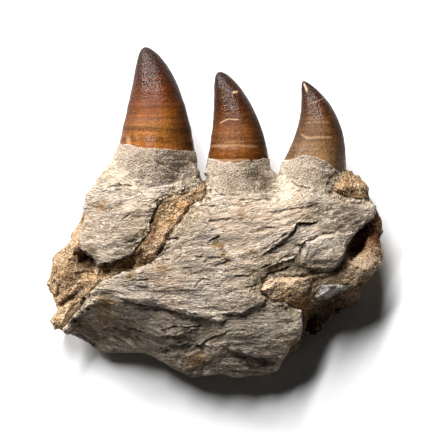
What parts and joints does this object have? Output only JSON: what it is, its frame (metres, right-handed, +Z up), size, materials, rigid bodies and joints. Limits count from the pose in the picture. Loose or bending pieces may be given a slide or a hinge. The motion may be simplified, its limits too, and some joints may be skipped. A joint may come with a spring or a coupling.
{
  "type": "fossil mosasaur jaw",
  "caption": "Fossil mosasaur jaw in sandy matrix: a broken length of fibrous jaw bone that carries curved enamel-capped teeth and lies flat on its back.",
  "frame": {"origin": "middle of the block's outline, on the surface it lies on", "axes": "+Z up out of the front face that shows the bone, +Y the way the teeth point, +X to the right along the jaw with the large tooth on the left"},
  "size_m": [0.1626, 0.1599, 0.0466],
  "materials": {
    "bone": "pale grey cracked fossil bone, matt",
    "sandstone": "tan granular phosphate sand, matt",
    "enamel": "brown fossil enamel, glossy"
  },
  "bodies": {
    "root": {"jaw_bone": "bone", "jaw_fragment": "bone", "bone_splinter": "bone", "matrix": "sandstone", "large_tooth": "enamel", "middle_tooth": "enamel", "small_tooth": "enamel"}
  },
  "joints": []
}
